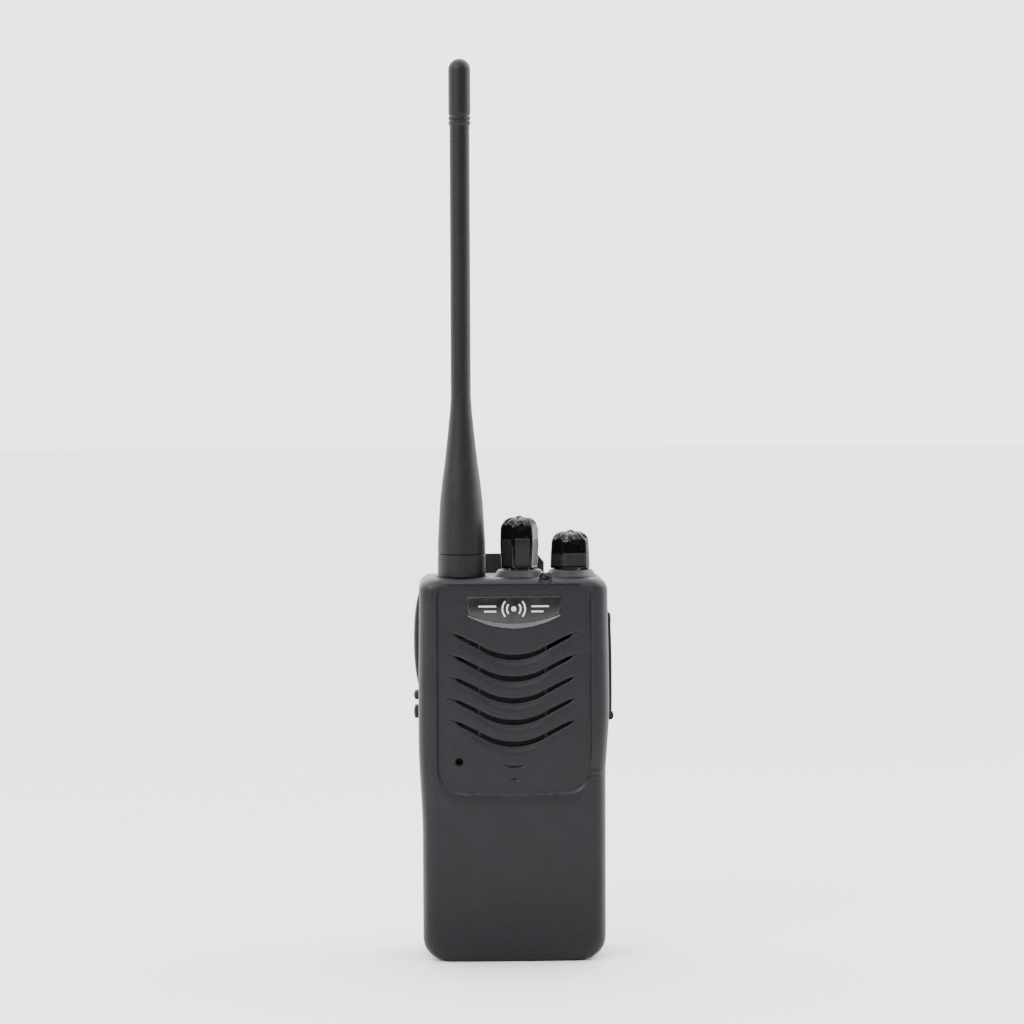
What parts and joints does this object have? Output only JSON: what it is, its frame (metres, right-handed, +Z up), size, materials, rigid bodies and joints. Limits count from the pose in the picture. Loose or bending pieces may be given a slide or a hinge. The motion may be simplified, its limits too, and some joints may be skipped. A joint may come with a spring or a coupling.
{
  "type": "two way radio",
  "caption": "Handheld two way radio with a screw-on whip antenna, top knobs, side talk bar, curved sound slots, slide-off battery pack and a sprung belt clip.",
  "frame": {"origin": "middle of the flat base that the radio stands on", "axes": "+Z up along the case towards the antenna, -Y out of the speaker side, +X to the side with the jacks"},
  "size_m": [0.0584, 0.0398, 0.2626],
  "materials": {
    "case_plastic": "fine-grained satin moulded polycarbonate",
    "badge_plastic": "smooth satin",
    "rubber_black": "matte moulded rubber",
    "knob_gloss": "polished",
    "lens_dark": "smoked translucent",
    "antenna_rubber": "matte moulded over-sheath",
    "chassis_metal": "black-painted casting",
    "brass_gold": "gold-plated",
    "steel_black": "black zinc",
    "steel_bright": "bright zinc",
    "board_green": "solder mask",
    "can_tin": "tinned",
    "chip_black": "matte epoxy",
    "felt_black": "woven dust cloth",
    "cone_paper": "pressed pulp",
    "cell_foil": "aluminium can"
  },
  "bodies": {
    "radio": {"front_case": "case_plastic", "badge_plate": "badge_plastic", "led_lens": "lens_dark", "led_chip": "lens_dark", "speaker_felt": "felt_black", "speaker_frame": "steel_bright", "speaker_cone": "cone_paper", "speaker_magnet": "steel_bright", "mic_boot": "rubber_black", "mic_capsule": "can_tin", "channel_switch": "steel_bright", "channel_nut": "steel_bright", "volume_pot": "steel_bright", "volume_nut": "steel_bright", "antenna_connector": "brass_gold", "side_board": "board_green", "side_switches": "can_tin", "jack_block": "chip_black", "jack_cover_pin": "steel_bright", "main_board": "board_green", "shield_can_rf": "can_tin", "shield_can_logic": "can_tin", "board_chips": "chip_black", "terminal_block": "chip_black", "radio_terminals": "brass_gold", "case_gasket": "rubber_black", "rear_chassis": "chassis_metal", "clip_bracket": "steel_black", "clip_pin": "steel_bright", "clip_spring": "steel_bright", "case_screws": "steel_black", "clip_screws": "steel_black"},
    "channel_control": {"channel_knob": "knob_gloss", "channel_shaft": "steel_bright"},
    "volume_control": {"volume_knob": "knob_gloss", "volume_shaft": "steel_bright"},
    "antenna_washer": {"antenna_seal": "rubber_black"},
    "antenna": {"antenna_whip": "antenna_rubber", "antenna_collar": "antenna_rubber", "antenna_ferrule": "brass_gold", "antenna_contact": "brass_gold"},
    "talk_bar": {"ptt_button": "rubber_black"},
    "key_upper": {"side_key_1": "rubber_black"},
    "key_lower": {"side_key_2": "rubber_black"},
    "jack_door": {"jack_cover": "rubber_black"},
    "battery_pack": {"battery_inner_case": "case_plastic", "battery_outer_case": "case_plastic", "battery_cells": "cell_foil", "battery_board": "board_green", "battery_contacts": "brass_gold", "charge_contacts": "brass_gold"},
    "latch": {"battery_latch": "case_plastic"},
    "clip": {"clip_arm": "case_plastic"}
  },
  "joints": [
    {"name": "channel_turn", "type": "hinge", "parent": "radio", "child": "channel_control", "pos_m": [0.002, -0.0065, 0.114], "axis": [0, 0, 1], "range_deg": [-337.5, 0]},
    {"name": "volume_turn", "type": "hinge", "parent": "radio", "child": "volume_control", "pos_m": [0.017, -0.0065, 0.114], "axis": [0, 0, 1], "range_deg": [-300, 0]},
    {"name": "antenna_lift", "type": "slide", "parent": "radio", "child": "antenna_washer", "axis": [0, 0, 1], "range_m": [0, 0.0036]},
    {"name": "antenna_turn", "type": "hinge", "parent": "antenna_washer", "child": "antenna", "pos_m": [-0.0149, -0.0065, 0.112], "axis": [0, 0, 1], "range_deg": [0, 1800]},
    {"name": "talk_press", "type": "slide", "parent": "radio", "child": "talk_bar", "axis": [1, 0, 0], "range_m": [0, 0.0008], "stiffness_N_per_m": 600, "springref_m": -0.004},
    {"name": "key_upper_press", "type": "slide", "parent": "radio", "child": "key_upper", "axis": [1, 0, 0], "range_m": [0, 0.0005], "stiffness_N_per_m": 400, "springref_m": -0.003},
    {"name": "key_lower_press", "type": "slide", "parent": "radio", "child": "key_lower", "axis": [1, 0, 0], "range_m": [0, 0.0005], "stiffness_N_per_m": 400, "springref_m": -0.003},
    {"name": "jack_cover_turn", "type": "hinge", "parent": "radio", "child": "jack_door", "pos_m": [0.02805, -0.0034, 0.0713], "axis": [0, 1, 0], "range_deg": [0, 110]},
    {"name": "battery_slide", "type": "slide", "parent": "radio", "child": "battery_pack", "axis": [0, 0, -1], "range_m": [0, 0.009]},
    {"name": "latch_press", "type": "slide", "parent": "radio", "child": "latch", "axis": [0, -1, 0], "range_m": [0, 0.0013], "stiffness_N_per_m": 400, "springref_m": -0.003},
    {"name": "clip_open", "type": "hinge", "parent": "radio", "child": "clip", "pos_m": [0, 0.0179, 0.101], "axis": [1, 0, 0], "range_deg": [0, 15], "stiffness_Nm_per_rad": 0.4, "springref_deg": -20.05}
  ],
  "couplings": [
    {"joint": "antenna_lift", "follows": "antenna_turn", "m_per_rad": 0.0001123}
  ]
}
